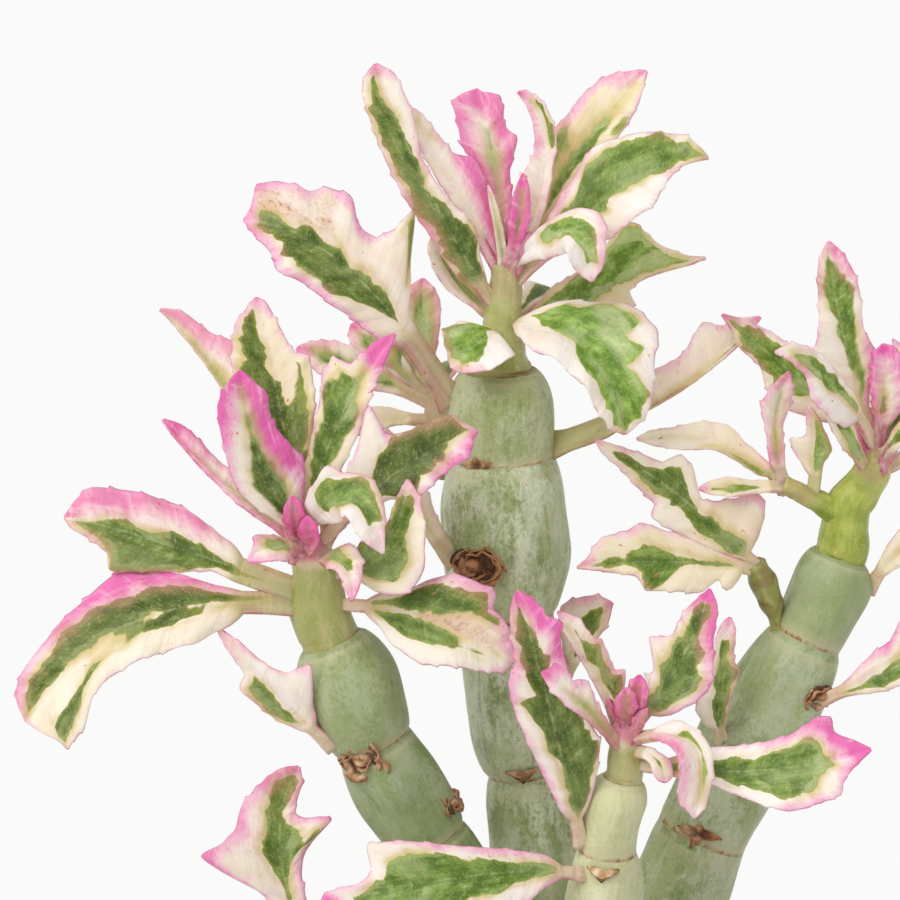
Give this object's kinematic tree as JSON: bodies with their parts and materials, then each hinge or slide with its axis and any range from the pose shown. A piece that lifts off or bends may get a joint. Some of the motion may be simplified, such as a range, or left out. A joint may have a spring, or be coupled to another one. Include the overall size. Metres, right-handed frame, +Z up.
{
  "type": "potted candle plant",
  "caption": "Variegated succulent with swollen jointed stems and crowns of lobed green, cream and pink leaves, growing in a round nursery pot.",
  "frame": {"origin": "centre of the pot's flat base, on the surface that it stands on", "axes": "+Z up; -Y towards the viewer who sees the plant's front; +X to that viewer's right"},
  "size_m": [0.1582, 0.1112, 0.2568],
  "materials": {
    "pot_plastic": "satin",
    "potting_mix": "rough",
    "stem_skin": "matte bloom",
    "leaf_blade": "satin"
  },
  "bodies": {
    "root": {"pot": "pot_plastic", "soil": "potting_mix", "stem_centre": "stem_skin", "stem_left": "stem_skin", "stem_right": "stem_skin", "stem_front": "stem_skin", "shoot_low_left": "stem_skin", "leaf_left_lobed": "leaf_blade", "crown_centre": "leaf_blade", "crown_left": "leaf_blade", "crown_right": "leaf_blade", "crown_front": "leaf_blade", "crown_low_left": "leaf_blade", "crown_branch": "leaf_blade", "leaf_right_lobed": "leaf_blade", "leaf_centre_right": "leaf_blade", "leaf_centre_left": "leaf_blade", "leaf_centre_back": "leaf_blade", "leaf_left_side": "leaf_blade", "leaf_right_outer": "leaf_blade", "leaf_right_pale": "leaf_blade", "leaf_right_inner": "leaf_blade", "leaf_front_tall": "leaf_blade", "leaf_front_long": "leaf_blade"}
  },
  "joints": []
}
